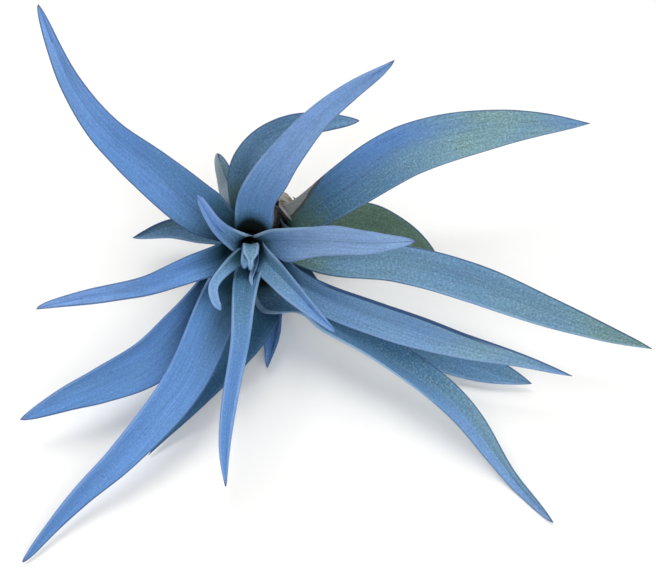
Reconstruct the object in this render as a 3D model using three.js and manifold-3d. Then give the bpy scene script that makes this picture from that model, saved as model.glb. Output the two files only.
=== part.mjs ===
// Tillandsia capitata, an air plant without roots or pot, lying on a table with its rosette turned to the
// front and a little to the left. Millimetres, +Z up, the table at Z 0. The origin is the point of the
// table under the middle of the plant. The plant rests on the worn edge of its stem at the back and on
// the tips of two long leaves at the front.

import * as THREE from "three";
import { mergeVertices } from "three/addons/utils/BufferGeometryUtils.js";
import Module from "manifold-3d";

const DEG = Math.PI / 180;

// The rosette: its mouth, where the youngest leaves come out, and the way its axis points
const CROWN = new THREE.Vector3(-26, 20.4, 19);
const AXIS_RISE = 30 * DEG;
const AXIS_TURN = 17 * DEG;

// The view in which the leaves are laid out: from the front, looking down on the plant from an eye at this
// distance, which aims this far to the right of the crown and this far above it
const LOOK_DOWN = 55 * DEG;
const LOOK_FROM = 700;
const AIM_ACROSS = 23.4;
const AIM_UP = -14.85;

// The stem, a short woody dome inside the leaf bases, with a rounded butt
const STEM_LENGTH = 20;
const STEM_RADIUS = 6.8;
const STEM_TOP_RADIUS = 0.6;
const STEM_BUTT = 2.5;
const STEM_SIDES = 20;
const STEM_RINGS = 8;
const CROWN_ABOVE_BUTT = 28;

// The leaf bases, wrapped round the stem in layers from the heart outwards
const SHEATH_HALF_ANGLE = 42 * DEG;
const SHEATH_OVERLAP = 70 * DEG;
const SHEATH_HALF_WIDTH = 6.2;
const SHEATH_THICKNESS = 0.65;
const SHEATH_RISE = 11;
const FIRST_EXIT_RADIUS = 1.9;
const LAYER = 1.1;
const LAYER_DROP = 2;
const GAP = 0.3;

// The blades
const BLADE_THICKNESS = 0.9;
const MARGIN_THICKNESS = 0.6;
const TIP_HALF_WIDTH = 0.45;
const BLADE_HALF_ANGLE = 30 * DEG;
const OPENING_LENGTH = 14;
const TAPER_START = 0.4;
const LENGTHWISE = 14;
const ACROSS = 6;
const ACROSS_NARROW = 4;
const NARROW = 8.5;
const FINE = 12;

// The colours
const STEM_COLOR = 0x7a6a5a;
const DRY_COLOR = 0xa39a96;
const YOUNG_COLOR = 0x5f88cc;
const OLD_COLOR = 0x4d7896;

// Each leaf from the heart outwards: the width of its blade, and the places its middle line passes through,
// as seen in the view above: across from the crown, up from it, and the height above the table. roll turns
// the blade about its middle line in degrees, taper is where along the leaf it starts to narrow, and neck is
// the share of the width that it has near the sheath. azimuth turns the sheath round the stem, in degrees,
// where it doesn't simply face the first place.
const LEAVES = [
  {
    name: "heart_leaf",
    width: 4.4,
    azimuth: -75,
    path: [[0.2, -2.5, 24.3], [0.2, -6, 25.9], [0.2, -8.4, 25.7]],
  },
  {
    name: "heart_lobe",
    width: 2.6,
    azimuth: -160,
    path: [[-1.5, -3, 22.2], [-2, -7.8, 23.5]],
  },
  {
    name: "heart_tip",
    width: 2,
    azimuth: 10,
    path: [[0.5, -8.7, 21.4], [1.2, -13.8, 20.9]],
  },
  {
    name: "leaf_inner_up_left",
    width: 6.5,
    path: [[-4.5, 1, 24.5], [-9.6, 6.3, 33.2], [-15.9, 14.4, 43.7]],
  },
  {
    name: "leaf_inner_low_left",
    width: 6,
    path: [[-3.6, -5, 24.3], [-10, -10, 26.4], [-11.5, -14.5, 27.1], [-8.7, -19.8, 26.4]],
  },
  {
    name: "leaf_right_inner",
    width: 10.5,
    roll: -5,
    path: [[9, 0, 25.5], [24, 0, 37], [36, 1, 44.2], [49.5, 0.6, 48.8]],
  },
  {
    name: "leaf_inner_low_right",
    width: 8,
    roll: -15,
    path: [[5.4, -6.6, 21.8], [9, -12.6, 24.9], [16.5, -19.2, 29.3], [26.4, -27, 31.3]],
  },
  {
    name: "leaf_down",
    width: 7.5,
    roll: -24,
    path: [[-0.9, -13.5, 22.8], [-3.3, -30.6, 24.3], [-6.6, -56, 19.7], [-7.2, -72.6, 13.3]],
  },
  {
    name: "leaf_up",
    width: 12,
    path: [[1.5, 12.9, 33.5], [13.2, 30.6, 61.5], [29.7, 45.6, 77.5], [42.6, 54.3, 84.5]],
  },
  {
    name: "leaf_left",
    width: 8.4,
    path: [[-9, -6, 22.3], [-30, -13.5, 27.7], [-42.6, -15, 29.5], [-63.9, -19.5, 30.7]],
  },
  {
    name: "leaf_right_low",
    width: 10.5,
    path: [[14, -11, 16], [24, -17, 17.4], [45, -25.2, 20.9], [63, -30, 22.2], [96, -40, 18.1]],
  },
  {
    name: "leaf_low_right",
    width: 12,
    neck: 0.68,
    taper: 0.35,
    path: [[12.6, -14.6, 11.2], [38, -28.7, 11.5], [60.6, -48, 11.1], [81, -75, 0.8], [90.3, -83.4, 0]],
  },
  {
    name: "leaf_down_left",
    width: 12,
    taper: 0.22,
    path: [[-8.4, -14, 15.9], [-22.5, -41.7, 13.1], [-49.5, -76.5, 4.6], [-67.8, -95.7, 0]],
  },
  {
    name: "leaf_up_left",
    width: 13.5,
    roll: 18,
    taper: 0.3,
    path: [[-14.7, 9.7, 25.5], [-41.2, 32.3, 44.5], [-54, 47.9, 54.5], [-63.6, 71.4, 61.5]],
  },
  {
    name: "leaf_left_low",
    width: 14,
    path: [[-14, -17, 12.5], [-30.6, -36.6, 11.1], [-54.6, -46.5, 12], [-68.4, -52.8, 10.8]],
  },
  {
    name: "leaf_right_long",
    width: 13.5,
    roll: -12,
    taper: 0.5,
    path: [[21, -4.5, 18.9], [45, -6.3, 25], [66, -12.2, 26.5], [87, -19.8, 24.8], [120, -31.5, 18.9]],
  },
  {
    name: "leaf_down_under",
    width: 13,
    roll: -35,
    path: [[3, -20, 9.1], [-13, -41.7, 4.7], [-30.6, -63, 0.8]],
  },
  {
    name: "leaf_right_high",
    width: 15.5,
    roll: -10,
    path: [[27.6, 13.6, 24], [48.9, 28.8, 37.1], [81, 35.1, 40.7], [101, 36, 37.2]],
  },
  {
    name: "leaf_right_under",
    width: 14,
    neck: 0.65,
    taper: 0.55,
    path: [[27, -21.2, 6.5], [51, -31.7, 6.8], [84, -42, 3.1]],
  },
  {
    name: "leaf_up_back",
    width: 11.4,
    roll: -15,
    path: [[-0.8, 20.8, 29.5], [3.2, 29.2, 39.5], [12.8, 34.4, 47.5], [32.4, 36.6, 49.5]],
  },
  {
    name: "leaf_left_back",
    width: 8,
    roll: 20,
    path: [[-14, 4.5, 10.5], [-24, 4.2, 11], [-34.8, 1.8, 10.5]],
  },
  {
    name: "leaf_under_small",
    width: 9,
    roll: -20,
    path: [[7.5, -23, 4.2], [7.8, -30, 1.8], [5.4, -37.5, 0.8]],
  },
  {
    name: "dry_sheath",
    width: 10,
    azimuth: 55,
    path: [[10.6, 12.4, 20.8], [10.9, 13.6, 21.6]],
  },
  {
    name: "leaf_right_back",
    width: 13,
    path: [[26, 5.5, 10.5], [34.5, 6.3, 10.5], [43.5, 2.4, 8.1], [56, -5, 2.2]],
  },
  {
    name: "leaf_stub",
    width: 5,
    path: [[-6.3, 18.9, 20.4], [-9.9, 27, 26.3]],
  },
];

const wasm = await Module();
wasm.setup();

// The rosette's own directions: along its axis, and two square to it
const axis = new THREE.Vector3(
  -Math.sin(AXIS_TURN) * Math.cos(AXIS_RISE),
  -Math.cos(AXIS_TURN) * Math.cos(AXIS_RISE),
  Math.sin(AXIS_RISE),
);
const side = new THREE.Vector3(0, 0, 1).cross(axis).normalize();
const back = new THREE.Vector3().crossVectors(axis, side);
const butt = CROWN.clone().addScaledVector(axis, -CROWN_ABOVE_BUTT);

// The view's own directions: its right, its up, and the way to the eye
const viewRight = new THREE.Vector3(1, 0, 0);
const viewUp = new THREE.Vector3(0, Math.sin(LOOK_DOWN), Math.cos(LOOK_DOWN));
const toEye = new THREE.Vector3(0, -Math.cos(LOOK_DOWN), Math.sin(LOOK_DOWN));

// The point seen at (across, up) that stands at a height above the table. near is how much closer to the eye
// it is than the crown, and a closer point is drawn in towards the line of aim by that share.
function seenAt([across, up, height]) {
  const rise = height - CROWN.z - up * viewUp.z;
  const near = rise / (toEye.z - ((up - AIM_UP) * viewUp.z) / LOOK_FROM);
  const shrink = 1 - near / LOOK_FROM;
  return CROWN.clone()
    .addScaledVector(viewRight, AIM_ACROSS + (across - AIM_ACROSS) * shrink)
    .addScaledVector(viewUp, AIM_UP + (up - AIM_UP) * shrink)
    .addScaledVector(toEye, near);
}

// A point of the rosette: a height along the axis from the stem's butt, an azimuth and a radius
function roundAxis(height, azimuth, radius) {
  return butt
    .clone()
    .addScaledVector(axis, height)
    .addScaledVector(side, radius * Math.cos(azimuth))
    .addScaledVector(back, radius * Math.sin(azimuth));
}

function azimuthOf(point) {
  const out = point.clone().sub(CROWN);
  return Math.atan2(out.dot(back), out.dot(side));
}

function turnBetween(a, b) {
  return Math.abs(Math.atan2(Math.sin(a - b), Math.cos(a - b)));
}

function smooth(from, to, value) {
  return THREE.MathUtils.smoothstep(value, from, to);
}

// The stem's radius at a height above its butt
function stemRadiusAt(height) {
  const share = THREE.MathUtils.clamp(height / STEM_LENGTH, 0, 1);
  return THREE.MathUtils.lerp(STEM_RADIUS, STEM_TOP_RADIUS, Math.pow(share, 1.7));
}

// Each leaf grows one layer outside every earlier leaf whose base it overlaps, and lower on the stem
function wrapped(leaves) {
  const laid = [];
  for (const leaf of leaves) {
    const places = leaf.path.map(seenAt);
    const azimuth = leaf.azimuth === undefined ? azimuthOf(places[0]) : leaf.azimuth * DEG;
    const under = laid.filter((l) => turnBetween(l.azimuth, azimuth) < SHEATH_OVERLAP);
    const layer = Math.max(0, ...under.map((l) => l.layer + 1));
    const root = Math.max(STEM_LENGTH - LAYER_DROP * layer, 0);
    const rootRadius = stemRadiusAt(root) + GAP + SHEATH_THICKNESS;
    const exitRadius = Math.max(FIRST_EXIT_RADIUS + LAYER * layer, rootRadius);
    laid.push({ ...leaf, places, azimuth, layer, root, rootRadius, exitRadius, exit: root + SHEATH_RISE });
  }
  return laid;
}

// The middle line: up and out from the root on the stem to the exit, and on through the leaf's places
function spineOf(leaf) {
  const sheath = [0, 0.5, 1].map((share) => {
    const height = THREE.MathUtils.lerp(leaf.root, leaf.exit, share);
    const radius = THREE.MathUtils.lerp(leaf.rootRadius, leaf.exitRadius, share);
    return roundAxis(height, leaf.azimuth, radius);
  });
  return new THREE.CatmullRomCurve3([...sheath, ...leaf.places], false, "centripetal");
}

// The stations of a leaf, evenly spaced: a point, the way along, and a normal carried along without twist,
// in steps finer than the stations
function stationsOf(leaf) {
  const spine = spineOf(leaf);
  const length = spine.getLength();
  const normal = roundAxis(0, leaf.azimuth, -1).sub(butt);
  const stations = [];
  for (let i = 0; i <= LENGTHWISE * FINE; i += 1) {
    const share = i / (LENGTHWISE * FINE);
    const along = spine.getTangentAt(share);
    normal.addScaledVector(along, -normal.dot(along)).normalize();
    if (i % FINE === 0) {
      stations.push({ point: spine.getPointAt(share), along, normal: normal.clone(), share, length });
    }
  }
  return stations;
}

// Half the blade's width: from the neck it widens to the whole width, holds it, then draws in to the tip
// along (1 - gone * gone) ^ 0.85
function bladeHalfWidth(leaf, share) {
  const neck = THREE.MathUtils.lerp(leaf.neck ?? 0.9, 1, smooth(0.1, 0.4, share));
  const start = leaf.taper ?? TAPER_START;
  const gone = Math.max(share - start, 0) / (1 - start);
  const taper = Math.pow(1 - gone * gone, 0.85);
  return Math.max((leaf.width / 2) * neck * taper, TIP_HALF_WIDTH);
}

// One leaf as a closed solid: at each station an arc, concentric with the stem in the sheath and flatter in
// the blade, with a face on each side of it. grow makes it thicker and wider all round.
function leafSolid(leaf, grow = 0) {
  const positions = [];
  const columns = leaf.width < NARROW ? ACROSS_NARROW : ACROSS;
  const exitAt = leaf.exit - leaf.root;
  for (const at of stationsOf(leaf)) {
    const open = smooth(exitAt * 0.5, exitAt + OPENING_LENGTH, at.share * at.length);
    const inSheath = Math.min((at.share * at.length) / exitAt, 1);
    const wrapRadius = THREE.MathUtils.lerp(leaf.rootRadius, leaf.exitRadius, inSheath);
    const wrap = Math.min(SHEATH_HALF_ANGLE, SHEATH_HALF_WIDTH / wrapRadius);
    const bladeHalf = bladeHalfWidth(leaf, at.share);
    const half = THREE.MathUtils.lerp(wrapRadius * wrap, bladeHalf, open) + grow;
    const angle = THREE.MathUtils.lerp(wrap, BLADE_HALF_ANGLE, open);
    const bend = half / (angle * (1 + grow / half));
    const normal = at.normal.clone().applyAxisAngle(at.along, (leaf.roll ?? 0) * DEG * open);
    const sideways = new THREE.Vector3().crossVectors(at.along, normal);
    for (const face of [0, 1]) {
      for (let j = 0; j <= columns; j += 1) {
        const u = (2 * j) / columns - 1;
        const a = (u * half) / bend;
        const middle = THREE.MathUtils.lerp(SHEATH_THICKNESS, BLADE_THICKNESS, open);
        const thick = THREE.MathUtils.lerp(middle, MARGIN_THICKNESS, u * u);
        const lift = face ? thick + grow : -grow;
        const radius = bend - lift;
        positions.push(
          at.point
            .clone()
            .addScaledVector(sideways, radius * Math.sin(a))
            .addScaledVector(normal, bend - radius * Math.cos(a)),
        );
      }
    }
  }
  return closedSkin(positions, LENGTHWISE, columns);
}

// Joins two faces of (rows + 1) x (columns + 1) points into one closed solid, with the same split into
// triangles on both faces
function closedSkin(positions, rows, columns) {
  const wide = columns + 1;
  const at = (row, face, column) => row * 2 * wide + face * wide + column;
  const triangles = [];
  const quad = (a, b, c, d) => triangles.push(a, b, c, a, c, d);
  for (let i = 0; i < rows; i += 1) {
    for (let j = 0; j < columns; j += 1) {
      quad(at(i, 0, j), at(i + 1, 0, j), at(i + 1, 0, j + 1), at(i, 0, j + 1));
      triangles.push(at(i, 1, j), at(i + 1, 1, j + 1), at(i + 1, 1, j));
      triangles.push(at(i, 1, j), at(i, 1, j + 1), at(i + 1, 1, j + 1));
    }
    quad(at(i, 0, 0), at(i, 1, 0), at(i + 1, 1, 0), at(i + 1, 0, 0));
    quad(at(i, 0, columns), at(i + 1, 0, columns), at(i + 1, 1, columns), at(i, 1, columns));
  }
  for (let j = 0; j < columns; j += 1) {
    quad(at(0, 0, j), at(0, 0, j + 1), at(0, 1, j + 1), at(0, 1, j));
    quad(at(rows, 0, j), at(rows, 1, j), at(rows, 1, j + 1), at(rows, 0, j + 1));
  }
  const flat = new Float32Array(positions.flatMap((p) => p.toArray()));
  return solidFrom(flat, new Uint32Array(triangles));
}

function solidFrom(vertProperties, triVerts) {
  return new wasm.Manifold(new wasm.Mesh({ numProp: 3, vertProperties, triVerts }));
}

function solidOf(geometry) {
  const bare = geometry.clone();
  bare.deleteAttribute("normal");
  bare.deleteAttribute("uv");
  const merged = mergeVertices(bare, 1e-4);
  return solidFrom(merged.attributes.position.array, new Uint32Array(merged.index.array));
}

// The stem, turned about the axis: a rounded butt, then the dome up to the heart
function stemSolid(grow = 0) {
  const profile = [
    [0, -STEM_BUTT - grow],
    [STEM_RADIUS * 0.6, -STEM_BUTT * 0.85 - grow],
    [STEM_RADIUS * 0.9 + grow, -STEM_BUTT * 0.4 - grow],
  ];
  for (let i = 0; i <= STEM_RINGS; i += 1) {
    const height = (STEM_LENGTH * i) / STEM_RINGS;
    profile.push([stemRadiusAt(height) + grow, height]);
  }
  profile.push([0, STEM_LENGTH + 0.3 + grow]);
  const points = profile.map(([radius, height]) => new THREE.Vector2(radius, height));
  const turned = new THREE.LatheGeometry(points, STEM_SIDES);
  const upright = new THREE.Vector3(0, 1, 0);
  turned.applyQuaternion(new THREE.Quaternion().setFromUnitVectors(upright, axis));
  turned.translate(butt.x, butt.y, butt.z);
  return solidOf(turned);
}

// Everything under the table top, which the resting points are cut flat by
function underTable() {
  const size = 600;
  const box = new THREE.BoxGeometry(size, size, size).toNonIndexed();
  box.translate(0, 0, -size / 2);
  return solidOf(box);
}

function largest(solid) {
  return solid.decompose().reduce((best, piece) => (piece.volume() > best.volume() ? piece : best));
}

function boxesMeet(a, b) {
  return [0, 1, 2].every((k) => a.min[k] < b.max[k] && b.min[k] < a.max[k]);
}

// Each outer leaf gives way to the stem and to every leaf inside it, with the gap between them
function fitted(leaves, table) {
  const taken = [stemSolid(GAP)];
  return leaves.map((leaf) => {
    let solid = leafSolid(leaf).subtract(table);
    for (const other of taken) {
      if (boxesMeet(solid.boundingBox(), other.boundingBox())) {
        solid = solid.subtract(other);
      }
    }
    taken.push(leafSolid(leaf, GAP));
    return largest(solid);
  });
}

function meshOf(name, solid, material) {
  const made = solid.getMesh();
  const geometry = new THREE.BufferGeometry();
  geometry.setAttribute("position", new THREE.BufferAttribute(made.vertProperties, 3));
  geometry.setIndex(new THREE.BufferAttribute(made.triVerts, 1));
  geometry.computeVertexNormals();
  const mesh = new THREE.Mesh(geometry, material);
  mesh.name = name;
  return mesh;
}

function dull(color) {
  return new THREE.MeshStandardMaterial({ color, roughness: 0.75, metalness: 0 });
}

// Blue in the young leaves, greyer green towards the outermost
function leafColor(leaf, outwards) {
  if (leaf.name === "dry_sheath") {
    return new THREE.Color(DRY_COLOR);
  }
  return new THREE.Color(YOUNG_COLOR).lerp(new THREE.Color(OLD_COLOR), outwards);
}

const plant = new THREE.Group();
const table = underTable();
plant.add(meshOf("stem", stemSolid().subtract(table), dull(STEM_COLOR)));
const leaves = wrapped(LEAVES);
fitted(leaves, table).forEach((solid, index) => {
  const leaf = leaves[index];
  plant.add(meshOf(leaf.name, solid, dull(leafColor(leaf, index / leaves.length))));
});

export default plant;
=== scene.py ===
"""An air plant, Tillandsia capitata: fine leaves, dry leaf base and stem in place of the plain solids.

Leaves are laid out in millimetres as the view from the front shows them, then made in metres. Each one is a
surface over two parameters: along its middle line, and round its cross-section.
"""
import math

import bmesh
import bpy
import numpy as np
from mathutils import Matrix


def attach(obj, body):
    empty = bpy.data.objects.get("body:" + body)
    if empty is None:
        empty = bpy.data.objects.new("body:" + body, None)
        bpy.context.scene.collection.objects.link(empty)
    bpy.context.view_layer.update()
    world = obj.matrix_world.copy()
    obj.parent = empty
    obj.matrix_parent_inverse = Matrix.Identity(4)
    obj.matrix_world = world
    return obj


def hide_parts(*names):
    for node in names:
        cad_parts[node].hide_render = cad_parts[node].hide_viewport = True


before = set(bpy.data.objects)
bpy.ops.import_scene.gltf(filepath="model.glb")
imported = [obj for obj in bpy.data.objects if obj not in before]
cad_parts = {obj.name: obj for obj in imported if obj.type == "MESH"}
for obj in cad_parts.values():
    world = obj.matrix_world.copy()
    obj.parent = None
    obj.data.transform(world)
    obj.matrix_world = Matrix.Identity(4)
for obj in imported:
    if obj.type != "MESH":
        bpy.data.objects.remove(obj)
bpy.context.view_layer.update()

MM = 0.001
DEG = math.pi / 180

SEED = 7

# The rosette: its mouth, the rise and turn of its axis, and the view in which the leaves are laid out
CROWN = np.array([-26.0, 20.4, 19.0])
AXIS_RISE = 30 * DEG
AXIS_TURN = 17 * DEG
LOOK_DOWN = 55 * DEG
LOOK_FROM = 700.0
AIM_ACROSS = 23.4
AIM_UP = -14.85

# The stem
STEM_LENGTH = 20.0
STEM_RADIUS = 6.8
STEM_TOP_RADIUS = 0.6
STEM_BUTT = 2.5
CROWN_ABOVE_BUTT = 28.0

# The leaf bases, whose half angle is in degrees
SHEATH_HALF_ANGLE = 42
SHEATH_OVERLAP = 70 * DEG
SHEATH_HALF_WIDTH = 6.2
SHEATH_THICKNESS = 0.65
SHEATH_RISE = 11.0
FIRST_EXIT_RADIUS = 1.9
LAYER = 1.1
LAYER_DROP = 2.0
GAP = 0.3

# The first of the older leaves, counted from 0 at the heart, whose bases are felted outside
FIRST_FELTED = 9

# The blades, whose crease and bow are in degrees
BLADE_THICKNESS = 0.8
SHEATH_SKIN = 0.45
THICK_HALF_WIDTH = 2.5
TIP_HALF_WIDTH = 0.12
TIP_LENGTH = 7.0
BLUNT = 0.4
OPENING_START = 0.5
OPENING_LENGTH = 14.0
TAPER_START = 0.4
POINT = 0.85
BROAD = ((0, 0.9), (0.4, 1), (1, 1))
CREASE = 12
CREASE_WIDTH = 0.1
FOLD_WIDTH = 0.1
BOW = 18
WAVES = 4
WAVE_HEIGHT = 0.12
WAVE_RATE = 0.12
WAVE_RATE_STEP = 0.09
WAVE_HALF_WIDTH = 4
OUTER_FACE_RISE = 0.05
INNER_FACE_RISE = 0.45

# The painted shadow in the mouth of a leaf: how its edge arches, and where across the leaf it is deepest
MOUTH_SHADOW_ARCH = 2.6
ARCH_POWER = 2.6
ARCH_AT = 0.15

# The skins' rows along a leaf, columns across each face, and the steps of a curve between two knots
ROWS = 190
COLUMNS = 26
CURVE_STEPS = 80

# The picture: its width at the crown's distance, and the film it falls on
PICTURE_WIDTH = 196.8
FILM = 36.0

# The studio, in metres. Each lamp has its watts, colour, size, place and tilt in degrees
FLOOR_HALF = 3.0
FAR_CLIP = 20
SKY_STRENGTH = 0.53
LAMPS = {
    "soft_box_behind": (6.4, (1.0, 0.99, 0.97), 0.7, (-0.3, 0.45, 0.9), (-26, -18)),
    "soft_box_in_front": (4.0, (0.97, 0.985, 1.0), 0.8, (0.3, -0.75, 0.65), (49, 20)),
}


def leaf(name, width, path, **looks):
    """A leaf: its blade's width, and the places of its middle line, as across, up and height. The looks are
    what sets it apart. Most are a course along the leaf: a number, or stops of (share of length, value).

    Its form: azimuth is where on the stem it grows, where its path doesn't say, and wrap how far round the
    stem each side of its base reaches. Roll turns the blade about its middle line. Broad, taper, point and
    blunt shape its outline, and flares move a margin out. Crease, bow and fold bend its section.

    Its finish: dusk, green, olive and bloom are how much of each colour it has. Dusk is a darker blue, partly
    painted shade near the crown. Shade is painted shade over it, and the crease shade is painted shade along
    its middle. Edge is a pale line at the margin, or below 0 a slate line of painted shade where the margin
    rolls away from the light, and the lip highlight is the width of a painted highlight on a turned margin.
    The mouth's reach is how far its painted shadow lies past the sheath, and dry_band the width of a dry,
    felted left margin. Dry makes the whole leaf dry."""
    return {"name": name, "width": width, "path": path, **looks}


def sides(left, right):
    """A look that differs between a leaf's left half and its right half, as seen from its base."""
    return {"left": left, "right": right}


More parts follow.
